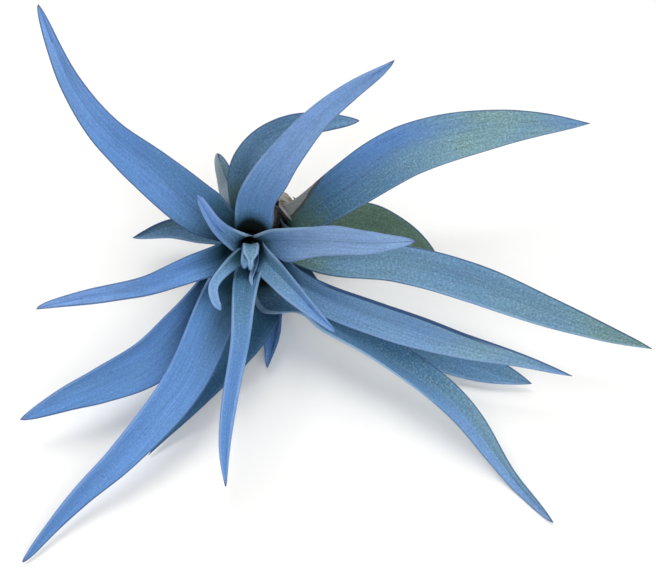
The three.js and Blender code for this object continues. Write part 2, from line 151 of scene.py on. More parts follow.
# From the heart outwards, which is the order in which the sheaths are layered
LEAVES = [
    leaf(
        "heart_leaf",
        5.4,
        [(0.2, -1, 24.6), (0.2, -5, 26), (0.2, -8.4, 25.7)],
        azimuth=-75,
        broad=((0, 1), (0.76, 1), (0.8, 0.9), (0.84, 0.6), (0.88, 0.36), (0.95, 0.36), (1, 0.36)),
        taper=0.94,
        point=0.5,
        blunt=0.2,
        dusk=((0, 0.8), (0.7, 0.35), (1, 0.2)),
        green=((0, 0.8), (0.7, 0.7), (1, 0.5)),
        shade=((0, 0.9), (0.62, 0.6), (0.72, 0.1), (0.8, 0), (1, 0)),
        edge=sides(1, 1),
    ),
    leaf(
        "heart_lobe",
        3.4,
        [(-1.2, -3, 24.4), (-1.7, -7.8, 25.6)],
        azimuth=-160,
        roll=-85,
        taper=0.75,
        point=0.4,
        blunt=0.2,
        dusk=0.5,
        green=0.6,
        edge=sides(1, 1),
    ),
    leaf(
        "heart_tip",
        3,
        [(2.2, -4, 22.5), (1.3, -8, 23.4), (0.4, -11, 24), (1.1, -14.1, 24.4)],
        azimuth=10,
        roll=80,
        blunt=0.1,
        crease=30,
        dusk=0.5,
        green=0.5,
        edge=sides(1, 1),
    ),
    leaf(
        "leaf_inner_up_left",
        7,
        [(-4.8, 0.4, 25.2), (-10.4, 4.9, 33.2), (-13.4, 9.3, 38.5), (-16.2, 14.8, 44.2)],
        wrap_right=88,
        roll=((0, -56), (0.3, -64), (0.42, -66), (0.6, -46), (0.8, -38), (1, -38)),
        point=0.7,
        blunt=0.8,
        flare_left=((0, 0), (0.3, 0.3), (0.45, 0.8), (0.6, 0.2), (1, 0)),
        flare_right=((0, 0), (0.2, 0.8), (0.3, 1.5), (0.4, 1.2), (0.5, 0.4), (0.6, 0), (1, 0)),
        crease=34,
        bow=10,
        dusk=((0, 1), (0.45, 0.7), (0.55, 0.4), (0.7, 0.05), (1, 0)),
        green=((0, 0.7), (0.5, 0.5), (0.65, 0.1), (1, 0)),
        bloom=((0, 0), (0.5, 0.1), (0.7, 0.3), (1, 0.35)),
        shade=((0, 0.9), (0.4, 0.5), (0.48, 0.15), (0.55, 0), (1, 0)),
        edge=sides(0.8, 1),
        lip=sides(-1, ((0, -1), (0.3, -1), (0.36, 0.9), (0.45, 0.9), (0.55, 0.3), (0.7, -1), (1, -1))),
        deep=2,
    ),
    leaf(
        "leaf_inner_low_left",
        6.4,
        [(-3, -4.4, 24.3), (-7.6, -8.4, 26), (-11, -13.4, 27.1), (-10.3, -17.6, 26.8), (-8.7, -20.3, 26.4)],
        roll=((0, 60), (0.3, 95), (0.5, 80), (0.75, 60), (1, 35)),
        broad=((0, 1), (0.4, 0.95), (0.7, 0.55), (1, 0.45)),
        taper=0.85,
        point=0.5,
        blunt=0.8,
        dusk=((0, 1), (0.5, 0.7), (0.62, 0.4), (0.75, 0.15), (1, 0)),
        green=((0, 0.7), (0.6, 0.5), (0.8, 0.3), (1, 0.2)),
        bloom=((0, 0), (0.6, 0.15), (1, 0.35)),
        shade=((0, 1), (0.45, 1), (0.54, 0.85), (0.6, 0.4), (0.68, 0), (1, 0)),
        edge=sides(1, 1),
        deep=2.6,
    ),
    leaf(
        "leaf_right_inner",
        12,
        [(9, 1.1, 25.5), (24, 1, 37), (36, 0.2, 44.2), (50, 0.6, 48.9)],
        roll=((0, -5), (0.4, -3), (1, 10)),
        blunt=0.4,
        flare_left=(
            (0, 0), (0.12, 0.8), (0.2, 0.6), (0.27, 0.1), (0.4, -0.3), (0.55, 0.3), (0.68, 1.4), (0.8, 0.8),
            (0.9, 0), (1, 0),
        ),
        flare_right=((0, 0), (0.2, 0.3), (0.3, 1.3), (0.38, 0.6), (0.48, -0.5), (0.8, -0.4), (1, 0)),
        crease=((0, 28), (0.4, 26), (1, 12)),
        bow=8,
        dusk=((0, 1), (0.22, 0.35), (0.32, 0.05), (0.6, 0), (1, 0)),
        green=((0, 0.5), (0.3, 0.25), (0.6, 0.2), (1, 0.2)),
        bloom=((0, 0), (0.25, 0.15), (0.4, 0.7), (1, 0.7)),
        shade=((0, 0.9), (0.2, 0.5), (0.26, 0.1), (0.3, 0), (1, 0)),
        edge=sides(0.8, 0.9),
        lip=sides(((0, 0.9), (0.25, 0.9), (0.38, 0.7), (0.5, 0.3), (0.6, -1), (1, -1)), -1),
        rib=0.9,
        deep=2.5,
    ),
    leaf(
        "leaf_inner_low_right",
        9.8,
        [(5.4, -5.4, 22.8), (10.3, -10.6, 25.8), (17.4, -18, 28.8), (26.4, -27.3, 31.3)],
        roll=((0, 30), (1, 10)),
        point=1,
        blunt=0.4,
        crease=32,
        bow=14,
        dusk=((0, 1), (0.3, 0.9), (0.45, 0.6), (0.6, 0.25), (0.75, 0.05), (1, 0)),
        green=((0, 0.8), (0.45, 0.6), (0.7, 0.3), (1, 0)),
        shade=((0, 0.9), (0.25, 0.65), (0.33, 0.2), (0.4, 0), (1, 0)),
        edge=sides(1, 1),
        rib=0.6,
    ),
    leaf(
        "leaf_down",
        9.9,
        [(-1, -13, 21.9), (-3.1, -31, 24.3), (-6.6, -53, 20.4), (-7.2, -73, 13.2)],
        azimuth=-60,
        roll=16,
        broad=((0, 0.8), (0.25, 1), (0.45, 0.79), (0.6, 0.66), (1, 0.5)),
        taper=0.7,
        blunt=0.15,
        flare_left=((0, 0), (0.8, 0), (0.93, -0.4), (1, 0)),
        flare_right=((0, 0), (0.8, 0), (0.92, 0.6), (1, 0.2)),
        crease=26,
        bow=8,
        dusk=((0, 1), (0.3, 0.95), (0.4, 0.7), (0.5, 0.35), (0.62, 0.2), (0.8, 0.15), (1, 0.1)),
        green=((0, 0.6), (0.3, 0.5), (0.45, 0.35), (0.6, 0.1), (1, 0)),
        bloom=0,
        shade=((0, 0.9), (0.2, 0.65), (0.28, 0.3), (0.36, 0), (1, 0)),
        edge=sides(1, 0.9),
        rib=0.5,
        deep=2,
    ),
    leaf(
        "leaf_up",
        12.4,
        [
            (2, 12.9, 33.5), (6.6, 21.8, 48), (12.7, 30, 60.5), (19, 37.3, 69), (30, 46.6, 78.5),
            (43.3, 54.9, 84.5),
        ],
        wrap_left=74,
        wrap_right=74,
        roll=((0, 0), (0.5, 0), (1, -24)),
        broad=1,
        taper=0.1,
        blunt=0.9,
        flare_left=((0, 0), (0.7, 0), (0.8, 0.5), (0.92, 0.6), (1, 0)),
        flare_right=(
            (0, 0), (0.1, 1.6), (0.15, 5.4), (0.19, 2.8), (0.23, 1.2), (0.42, 1), (0.55, 0.6), (0.7, 0.5),
            (0.92, 0.7), (1, 0),
        ),
        crease=((0, 6), (0.5, 10), (1, 30)),
        dusk=((0, 1), (0.2, 0.45), (0.28, 0.18), (0.4, 0.05), (1, 0.05)),
        green=((0, 0.5), (0.2, 0.2), (0.5, 0.15), (1, 0.05)),
        bloom=((0, 0), (0.3, 0.05), (0.5, 0.4), (1, 0.4)),
        edge=sides(1, 0.5),
        deep=5.3,
    ),
    leaf(
        "leaf_left",
        10,
        [(-9, -4.8, 22.3), (-18, -8, 25.4), (-30, -12.1, 27.7), (-42.6, -15, 29.5), (-64.1, -19.9, 30.6)],
        roll=((0, -20), (0.5, -14), (0.65, 0), (0.78, -15), (1, -60)),
        broad=((0, 1), (0.35, 0.95), (0.7, 0.62), (1, 0.5)),
        taper=0.75,
        point=0.6,
        blunt=0.6,
        crease=((0, 10), (1, 28)),
        dusk=((0, 1), (0.3, 0.6), (0.42, 0.15), (0.55, 0), (1, 0)),
        green=0.05,
        bloom=((0, 0), (0.55, 0.05), (0.8, 0.35), (1, 0.4)),
        shade=sides(
            ((0, 1), (0.26, 0.9), (0.33, 0.5), (0.42, 0), (1, 0)),
            ((0, 1), (0.28, 0.85), (0.35, 0.5), (0.42, 0.15), (0.5, 0), (1, 0)),
        ),
        edge=sides(0.3, 0.4),
        deep=3,
    ),
    leaf(
        "leaf_right_low",
        11.6,
        [
            (14, -11, 16), (24, -16.7, 17.4), (45, -24.6, 20.9), (63, -30, 22.2), (81, -34.7, 20.6),
            (96.7, -39.9, 18),
        ],
        roll=-3,
        point=0.95,
        blunt=0.2,
        flare_left=(
            (0, 0), (0.3, 0.3), (0.4, 0.7), (0.5, 1.1), (0.58, 1.4), (0.64, 1.2), (0.72, 0.5), (0.8, 0),
            (1, 0),
        ),
        crease=24,
        bow=10,
        dusk=((0, 1), (0.2, 0.7), (0.33, 0.22), (0.45, 0.1), (1, 0.08)),
        green=((0, 0.5), (0.4, 0.35), (0.6, 0.35), (0.75, 0.6), (0.9, 0.5), (1, 0.1)),
        bloom=((0, 0), (0.4, 0.2), (1, 0.25)),
        shade=((0, 0.9), (0.1, 0.5), (0.15, 0.2), (0.2, 0), (1, 0)),
        edge=sides(((0, 0.8), (0.2, 0.8), (0.28, 0), (0.35, -1), (0.7, -1), (0.85, 0), (1, 0)), 1),
    ),
    leaf(
        "leaf_low_right",
        12.4,
        [(12.6, -16, 12.2), (38.3, -33, 12), (62.1, -49.9, 11.1), (81.3, -72.6, 1.8), (91, -83.9, 0.9)],
        roll=(
            (0, 30), (0.12, 5), (0.17, -8), (0.2, 0), (0.235, 30), (0.27, 58), (0.34, 52), (0.5, 55),
            (0.72, 25), (0.85, -12), (1, -5),
        ),
        broad=((0, 0.68), (0.4, 1), (1, 1)),
        blunt=0.6,
        flare_right=(
            (0, 0), (0.08, 3), (0.13, 5), (0.17, 5.6), (0.2, 5.2), (0.235, 4.3), (0.27, 3.2), (0.31, 2.2),
            (0.38, 1), (0.5, 0.3), (0.6, -0.3), (0.7, -0.7), (0.8, -0.5), (0.9, 0), (1, 0),
        ),
        crease=30,
        bow=10,
        dusk=sides(
            ((0, 1), (0.2, 0.75), (0.3, 0.85), (0.6, 0.75), (0.72, 0.25), (1, 0.05)),
            ((0, 1), (0.2, 0.5), (0.3, 0.6), (0.55, 0.4), (0.7, 0), (1, 0)),
        ),
        green=sides(
            ((0, 0.6), (0.4, 0.65), (0.75, 0.75), (1, 0.4)),
            ((0, 0.5), (0.5, 0.4), (0.7, 0.3), (1, 0.2)),
        ),
        olive=((0, 0.6), (0.17, 0.25), (0.24, 0), (1, 0)),
        bloom=((0, 0), (0.6, 0), (0.75, 0.25), (1, 0.3)),
        shade=((0, 0.9), (0.18, 0.35), (0.24, 0.1), (0.3, 0), (1, 0)),
        edge=sides(0.3, 0.5),
        lip=sides(-1, ((0, 1.6), (0.2, 1.6), (0.27, 1.4), (0.4, 0.9), (0.6, 0.3), (0.8, -1), (1, -1))),
        deep=11,
    ),
    leaf(
        "leaf_down_left",
        14,
        [
            (-7.8, -15, 15.9), (-20.4, -42.2, 13.1), (-38.4, -63.8, 8.5), (-51.2, -76.2, 5),
            (-68.2, -95.8, 0.8),
        ],
        roll=((0, 0), (0.5, 4), (1, 28)),
        broad=((0, 0.8), (0.4, 1), (1, 1)),
        taper=0.3,
        point=1.05,
        blunt=0.9,
        flare_left=((0, 0), (0.8, 0), (0.92, -0.3), (1, 0)),
        flare_right=((0, 0), (0.8, 0), (0.9, 0.6), (0.96, 0.7), (1, 0.3)),
        crease=((0, 4), (0.5, 8), (1, 26)),
        dusk=((0, 1), (0.25, 0.7), (0.35, 0.3), (0.5, 0.12), (1, 0.1)),
        green=0.02,
        shade=sides(
            ((0, 1), (0.2, 1), (0.28, 0.85), (0.36, 0.55), (0.45, 0.15), (0.52, 0), (1, 0)),
            ((0, 1), (0.17, 0.95), (0.22, 0.7), (0.3, 0.15), (0.36, 0), (1, 0)),
        ),
        edge=sides(0.3, 0.9),
        deep=6,
    ),
    leaf(
        "leaf_up_left",
        13.4,
        [(-14.4, 9, 25.5), (-28.9, 22, 36), (-42.7, 33.5, 46), (-53, 47, 54.5), (-63.6, 71.6, 61.5)],
        roll=((0, -20), (0.5, -18), (1, -8)),
        taper=0.3,
        point=1,
        blunt=0.95,
        flare_left=(
            (0, 0), (0.2, 0.2), (0.3, 0.9), (0.4, 1.2), (0.46, 0.9), (0.52, 0.2), (0.6, -0.2), (0.7, -0.6),
            (0.8, -0.4), (0.9, 0), (1, 0),
        ),
        flare_right=(
            (0, 2), (0.15, 1.8), (0.24, 2), (0.3, 1.5), (0.4, 0.1), (0.5, -0.5), (0.75, -0.3), (0.85, 0.1),
            (0.93, 0.4), (1, 0),
        ),
        crease=((0, 4), (0.5, 10), (1, 34)),
        dusk=sides(
            (
                (0, 1), (0.15, 0.85), (0.22, 0.5), (0.32, 0.1), (0.5, 0), (0.68, 0.05), (0.76, 0.25),
                (0.85, 0.05), (1, 0),
            ),
            (
                (0, 1), (0.15, 0.85), (0.25, 0.6), (0.4, 0.3), (0.55, 0.05), (0.68, 0.05), (0.76, 0.25),
                (0.85, 0.05), (1, 0),
            ),
        ),
        green=((0, 0.3), (0.3, 0.1), (1, 0)),
        olive=((0, 0.8), (0.12, 0.5), (0.17, 0.15), (0.22, 0), (1, 0)),
        bloom=((0, 0), (0.5, 0), (0.8, 0.25), (1, 0.3)),
        shade=((0, 0.9), (0.13, 0.8), (0.19, 0.55), (0.25, 0.1), (0.3, 0), (1, 0)),
        edge=sides(0.2, 0.3),
        rib=0.5,
    ),
    leaf(
        "leaf_left_low",
        15.6,
        [
            (-14, -17.6, 12.5), (-30, -35.3, 11.5), (-45, -42.8, 11.6), (-54.6, -46.5, 12),
            (-68.9, -53, 10.8),
        ],
        roll=6,
        broad=((0, 0.75), (0.4, 1), (1, 1)),
        point=0.85,
        blunt=0.6,
        flare_right=((0, 0), (0.28, 0), (0.36, -1), (0.42, -0.9), (0.5, 0), (1, 0)),
        crease=6,
        fold_right=(34, 0.66),
        dusk=((0, 1), (0.2, 0.6), (0.4, 0.25), (0.8, 0.2), (1, 0.15)),
        green=0.03,
        shade=sides(
            ((0, 1), (0.38, 1), (0.46, 0.75), (0.54, 0.3), (0.62, 0), (1, 0)),
            ((0, 1), (0.3, 0.8), (0.38, 0.4), (0.45, 0.05), (0.5, 0), (1, 0)),
        ),
        edge=sides(0.3, 0.8),
        deep=6,
    ),
    leaf(
        "leaf_right_long",
        12.8,
        [(21, -4, 18.9), (45, -6.2, 25), (66, -11.6, 26.5), (87, -19.5, 24.8), (120.6, -31.7, 18.8)],
        roll=8,
        broad=((0, 0.65), (0.35, 0.92), (0.55, 1), (1, 1)),
        taper=0.5,
        point=0.95,
        blunt=0.2,
        flare_left=((0, 0), (0.7, 0), (0.85, -0.3), (1, 0)),
        flare_right=((0, 0), (0.75, 0), (0.9, 0.3), (1, 0)),
        crease=8,
        bow=10,
        fold_right=(34, 0.82),
        dusk=((0, 1), (0.2, 0.3), (0.3, 0.1), (0.6, 0.15), (0.85, 0.3), (1, 0.3)),
        green=((0, 0.9), (0.3, 0.7), (0.5, 0.5), (0.8, 0.75), (1, 0.95)),
        olive=((0, 0.9), (0.18, 0.6), (0.26, 0.2), (0.35, 0), (0.75, 0), (0.9, 0.45), (1, 0.5)),
        edge=sides(0.1, ((0, 0.3), (0.4, 0.5), (0.6, 1), (1, 1))),
    ),
    leaf(
        "leaf_down_under",
        13,
        [(3.4, -21.5, 6.8), (-12.6, -42.6, 4), (-30.4, -63.6, 0.9)],
        roll=28,
        point=1.3,
        blunt=0.3,
        dusk=0.9,
        green=0.2,
        shade=((0, 1), (0.3, 0.6), (0.5, 0.25), (1, 0.2)),
        edge=sides(0.25, 0.2),
    ),
    leaf(
        "leaf_right_high",
        16,
        [(16.5, 9, 19), (29, 17, 24.6), (48, 29, 36.7), (75, 35.1, 40.7), (102, 35.9, 37)],
        roll=5,
        broad=((0, 0.6), (0.2, 0.8), (0.4, 1), (1, 1)),
        taper=0.4,
        point=1,
        blunt=0.15,
        flare_left=(
            (0, 0), (0.2, 0.3), (0.3, 0.8), (0.38, 0.6), (0.45, 0), (0.52, -0.3), (0.65, -0.1), (0.8, 0.1),
            (0.9, 0.4), (1, 0),
        ),
        flare_right=((0, 0), (0.2, 0.3), (0.9, 0.3), (1, 0)),
        crease=4,
        bow=22,
        dusk=sides(
            ((0, 1), (0.2, 0.8), (0.3, 0.45), (0.38, 0.12), (0.5, 0), (1, 0)),
            ((0, 1), (0.2, 0.85), (0.35, 0.5), (0.5, 0.25), (0.6, 0.1), (1, 0.1)),
        ),
        green=sides(
            ((0, 0.4), (0.3, 0.1), (0.5, 0.15), (0.62, 0.6), (0.75, 0.9), (0.9, 0.55), (1, 0.3)),
            ((0, 0.5), (0.3, 0.5), (0.45, 0.65), (0.6, 0.85), (0.75, 0.95), (0.9, 0.6), (1, 0.3)),
        ),
        olive=((0, 0.9), (0.15, 0.6), (0.26, 0.1), (1, 0)),
        shade=((0, 0.8), (0.12, 0.55), (0.2, 0.3), (0.3, 0), (1, 0)),
        edge=sides(0.3, 0.6),
        dry_band=((0, 7), (0.1, 5), (0.16, 2.8), (0.2, 1), (0.25, -0.6), (0.35, -2), (1, -2)),
    ),
    leaf(
        "leaf_right_under",
        13.2,
        [(27.4, -19, 6.5), (51.4, -29.8, 6.8), (84.5, -42.2, 3.1)],
        broad=((0, 0.4), (0.5, 0.75), (0.75, 1), (1, 1)),
        taper=0.7,
        point=0.9,
        blunt=0.15,
        flare_left=((0, 0), (0.15, -2), (0.3, -3.2), (0.42, -1.5), (0.55, 0), (1, 0)),
        fold_right=(36, 0.76),
        dusk=((0, 1), (0.6, 0.6), (1, 0.35)),
        green=0.5,
        shade=((0, 1), (0.3, 0.5), (0.55, 0.15), (1, 0)),
        edge=sides(0.2, 0.9),
    ),
    leaf(
        "leaf_up_back",
        11.4,
        [(-1.2, 20.8, 29.5), (3, 29.6, 39.5), (12.8, 35.4, 47.5), (32.8, 36.7, 49.5)],
        roll=((0, -15), (0.6, -15), (1, 5)),
        point=0.8,
        blunt=0.45,
        flare_left=((0, 0), (0.35, 0), (0.5, -0.5), (0.7, -0.4), (0.85, 0), (1, 0)),
        dusk=((0, 0.8), (0.3, 0.3), (0.45, 0.15), (0.8, 0.3), (1, 0.3)),
        green=0.5,
        olive=((0, 1), (0.25, 0.75), (0.35, 0.2), (0.5, 0), (1, 0.1)),
        shade=((0, 1), (0.2, 0.9), (0.3, 0.6), (0.4, 0.15), (0.5, 0), (1, 0)),
        edge=sides(0.2, 0.2),
    ),
    leaf(
        "leaf_left_back",
        11,
        [(-14, 5.2, 10.5), (-24, 5.5, 11), (-35.2, 1.6, 10.5)],
        roll=10,
        blunt=0.3,
        crease=26,
        dusk=sides(0, 0.5),
        green=sides(0.5, 0.6),
        olive=sides(0.1, ((0, 0.5), (0.6, 0.45), (1, 0.2))),
        shade=sides(0, 0.3),
        edge=sides(1, -0.6),
    ),
    leaf(
        "leaf_under_small",
        14.2,
        [(7.9, -23, 4.8), (7.6, -30, 3.2), (5.2, -37.5, 2.4)],
        roll=0,
        blunt=0.5,
        flare_left=((0, 0), (0.4, 1), (1, 0.6)),
        crease=38,
        dusk=0.15,
        green=0.1,
        edge=sides(0.2, 0.6),
    ),
    leaf(
        "dry_sheath",
        10,
        [(10.3, 11.6, 20.4), (10.5, 12.6, 21)],
        azimuth=55,
        dry=True,
    ),
    leaf(
        "leaf_right_back",
        15,
        [(26, 6.2, 10.5), (35, 7, 10.5), (44.2, 3.2, 8.1), (56.4, -4.4, 2.2)],
        broad=((0, 0.35), (0.3, 0.8), (0.5, 1), (1, 1)),
        flare_left=((0, 0), (0.6, 0), (0.75, 0.4), (0.9, 0.5), (1, 0)),
        dusk=0,
        green=0.6,
        olive=1,
        edge=sides(0.2, 0.2),
    ),
    leaf(
        "leaf_stub",
        7.4,
        [(-6.6, 18.9, 20.4), (-9.9, 27, 26.3)],
        roll=-15,
        point=0.6,
        blunt=0.5,
        flare_left=((0, 0), (0.5, -0.8), (0.7, -0.8), (0.9, 0), (1, 0)),
        flare_right=((0, 0), (0.7, 0), (0.87, 0.8), (0.95, 0.6), (1, 0)),
        crease=30,
        dusk=0.3,
        green=0.5,
        olive=((0, 0.9), (0.5, 0.5), (1, 0.4)),
        bloom=1,
        edge=sides(0.4, 0.4),
        dry_band=((0, 5), (0.6, 4), (1, 1.5)),
    ),
]

# The rosette's own directions: along its axis, and two square to it
axis = np.array(
    [
        -math.sin(AXIS_TURN) * math.cos(AXIS_RISE),
        -math.cos(AXIS_TURN) * math.cos(AXIS_RISE),
        math.sin(AXIS_RISE),
    ]
)
side = np.cross([0, 0, 1], axis)
side = side / np.linalg.norm(side)
back = np.cross(axis, side)
butt = CROWN - CROWN_ABOVE_BUTT * axis

# The view's own directions: its right, its up, and the way to the eye
view_right = np.array([1.0, 0, 0])
view_up = np.array([0, math.sin(LOOK_DOWN), math.cos(LOOK_DOWN)])
to_eye = np.array([0, -math.cos(LOOK_DOWN), math.sin(LOOK_DOWN)])


def lerp(a, b, share):
    return a + (b - a) * share


def smooth(low, high, value):
    """0 below low, 1 above high, and 3 t^2 - 2 t^3 between them."""
    t = np.clip((value - low) / (high - low), 0, 1)
    return t * t * (3 - 2 * t)


def seen_at(places):
    """The points seen at (across, up) that stand at a height: near is how much closer to the eye than the
    crown they are, and closer points are drawn in towards the line of aim by that share."""
    across, up, height = np.array(places, float).T
    rise = height - CROWN[2] - up * view_up[2]
    near = rise / (to_eye[2] - (up - AIM_UP) * view_up[2] / LOOK_FROM)
    shrink = 1 - near / LOOK_FROM
    flat = np.outer(AIM_ACROSS + (across - AIM_ACROSS) * shrink, view_right)
    flat += np.outer(AIM_UP + (up - AIM_UP) * shrink, view_up)
    return CROWN + flat + np.outer(near, to_eye)


def round_axis(height, azimuth, radius):
    """A point of the rosette: a height along the axis from the butt, an azimuth and a radius."""
    return butt + axis * height + radius * (side * math.cos(azimuth) + back * math.sin(azimuth))


def stem_radius_at(height):
    """The stem's radius: it narrows from the butt to the top as the height's share to the power 1.7."""
    share = np.clip(height / STEM_LENGTH, 0, 1)
    return lerp(STEM_RADIUS, STEM_TOP_RADIUS, share**1.7)


def turn_between(a, b):
    return abs(math.atan2(math.sin(a - b), math.cos(a - b)))


def wrapped(leaves):
    """Each leaf's place on the stem: one layer outside every earlier leaf whose base it overlaps."""
    laid = []
    for each in leaves:
        places = seen_at(each["path"])
        out = places[0] - CROWN
        azimuth = each["azimuth"] * DEG if "azimuth" in each else math.atan2(out @ back, out @ side)
        under = [other["layer"] for other in laid if turn_between(other["azimuth"], azimuth) < SHEATH_OVERLAP]
        layer = max(under, default=-1) + 1
        root = max(STEM_LENGTH - LAYER_DROP * layer, 0)
        root_radius = float(stem_radius_at(root)) + GAP + SHEATH_THICKNESS
        laid.append(
            {
                **each,
                "places": places,
                "azimuth": azimuth,
                "layer": layer,
                "root": root,
                "exit": root + SHEATH_RISE,
                "root_radius": root_radius,
                "exit_radius": max(FIRST_EXIT_RADIUS + LAYER * layer, root_radius),
            }
        )
    return laid


def curve_through(knots, count):
    """A smooth curve through the knots: between two of them, a pyramid of straight blends over parameters
    that grow by the square root of each chord. The points come out evenly along its length."""
    knots = np.array(knots)
    knots = np.vstack([2 * knots[0] - knots[1], knots, 2 * knots[-1] - knots[-2]])
    steps = np.linalg.norm(np.diff(knots, axis=0), axis=1) ** 0.5
    t = np.concatenate([[0], np.cumsum(steps)])
    fine = []
    for i in range(1, len(knots) - 2):
        x = np.linspace(t[i], t[i + 1], CURVE_STEPS, endpoint=i == len(knots) - 3)[:, None]

        def blend(a, b, low, high):
            return a + (b - a) * (x - low) / (high - low)

        a1 = blend(knots[i - 1], knots[i], t[i - 1], t[i])
        a2 = blend(knots[i], knots[i + 1], t[i], t[i + 1])
        a3 = blend(knots[i + 1], knots[i + 2], t[i + 1], t[i + 2])
        b1 = blend(a1, a2, t[i - 1], t[i + 1])
        b2 = blend(a2, a3, t[i], t[i + 2])
        fine.append(blend(b1, b2, t[i], t[i + 1]))
    fine = np.vstack(fine)
    along = np.concatenate([[0], np.cumsum(np.linalg.norm(np.diff(fine, axis=0), axis=1))])
    even = np.linspace(0, along[-1], count)
    return np.stack([np.interp(even, along, fine[:, k]) for k in range(3)], 1), along[-1]


def middle_line(each):
    """The leaf's middle line from its root on the stem, out of the sheath and through its places, with the
    way along and a normal that starts towards the axis and is carried along without twist."""
    knots = []
    for share in (0, 0.5, 1):
        height = lerp(each["root"], each["exit"], share)
        radius = lerp(each["root_radius"], each["exit_radius"], share)
        knots.append(round_axis(height, each["azimuth"], radius))
    points, length = curve_through(knots + list(each["places"]), ROWS + 1)
    ways = np.gradient(points, axis=0)
    ways /= np.linalg.norm(ways, axis=1, keepdims=True)
    normal = butt - round_axis(0, each["azimuth"], 1)
    normals = []
    for way in ways:
        normal = normal - way * (normal @ way)
        normal = normal / np.linalg.norm(normal)
        normals.append(normal)
    return points, ways, np.array(normals), length


def course(stops, share):
    """A number, or a smooth cubic course through (share, value) stops whose slopes are those of its
    neighbours."""
    if not isinstance(stops, (list, tuple)):
        return np.full_like(share, stops)
    place, value = np.array(stops, float).T
    rate = np.gradient(value, place)
    i = np.clip(np.searchsorted(place, share, "right") - 1, 0, len(place) - 2)
    span = place[i + 1] - place[i]
    t = np.clip((share - place[i]) / span, 0, 1)
    bend = (1 - t) * (rate[i] * span * (1 - t) - rate[i + 1] * span * t) * t
    return lerp(value[i], value[i + 1], t * t * (3 - 2 * t)) + bend


def over_ring(look, share, rightness):
    """A look at each point of the skin: its course along the leaf, or a blend between one for each half."""
    if not isinstance(look, dict):
        look = sides(look, look)
    left, right = (course(look[key], share)[:, None] for key in ("left", "right"))
    return lerp(left, right, rightness)


def blade_half_width(each, share, to_tip):
    """Half the blade's width: the leaf's own course of breadth, drawn in to the tip as (1 - gone^2)^point,
    and swelled there by a quarter ellipse of its bluntness times gone^4."""
    start = each.get("taper", TAPER_START)
    gone = np.maximum(share - start, 0) / (1 - start)
    drawn_in = (1 - gone**2) ** each.get("point", POINT)
    swell = np.sqrt(1 - (1 - np.minimum(to_tip / TIP_LENGTH, 1)) ** 2) * gone**4
    blade = each["width"] / 2 * course(each.get("broad", BROAD), share) * drawn_in
    return np.maximum(blade + each.get("blunt", BLUNT) * swell, TIP_HALF_WIDTH)


def section(each, share, open_, wrap, reach, u):
    """The leaf's cross-section at each row: places across and up of its outer face, and the slope there.
    The slope is the sheath's arc, wrap * u, where the leaf is closed. On the blade it is a bow in proportion
    to u, a crease as tanh(u / CREASE_WIDTH), and a fold that lifts the right margin past a share of the way
    out. The places are the running sums of the slope's cosine and sine over steps of u times the reach."""
    crease = course(each.get("crease", CREASE), share) * DEG
    bow = course(each.get("bow", BOW), share) * DEG
    blade = bow[:, None] * u + crease[:, None] * np.tanh(u / CREASE_WIDTH)
    if "fold_right" in each:
        degrees, at = each["fold_right"]
        blade = blade + degrees * DEG * smooth(at - FOLD_WIDTH, at + FOLD_WIDTH, u)
    slope = lerp(wrap * u, blade, open_[:, None])
    step = np.diff(u) * (reach[:, 1:] + reach[:, :-1]) / 2
    between = (slope[:, 1:] + slope[:, :-1]) / 2
    start = np.zeros((len(share), 1))
    x = np.concatenate([start, np.cumsum(np.cos(between) * step, 1)], 1)
    y = np.concatenate([start, np.cumsum(np.sin(between) * step, 1)], 1)
    middle = len(u) // 2
    return x - x[:, middle, None], y - y[:, middle, None], slope


def halves(each, share, distance, length, wrap_radius, open_):
    """For the left half and the right one: the angle that the sheath wraps, and how far the section
    reaches, from the sheath's arc to the blade's half width with its flare."""
    wraps = []
    reaches = []
    for key in ("left", "right"):
        angle = each.get("wrap_" + key, SHEATH_HALF_ANGLE) * DEG
        most = np.inf if "wrap_" + key in each else SHEATH_HALF_WIDTH
        wrap = np.minimum(angle, most / wrap_radius)
        blade = blade_half_width(each, share, length - distance)
        blade += course(each.get("flare_" + key, 0), share)
        wraps.append(wrap)
        reaches.append(lerp(wrap_radius * wrap, blade, open_))
    return wraps, reaches


def ripple(rng, distance, u):
    """Waves in the blade: sines along the leaf, of growing rate and chance height, turn and lag, which grow
    towards the margins as |u|^1.5."""
    waves = rng.uniform(-1, 1, (WAVES, 3))
    total = sum(
        tall * np.sin(distance[:, None] * (WAVE_RATE + WAVE_RATE_STEP * k) + 6 * turn + lag * u)
        for k, (tall, turn, lag) in enumerate(waves)
    )
    return WAVE_HEIGHT * total * (np.abs(u) ** 1.5)


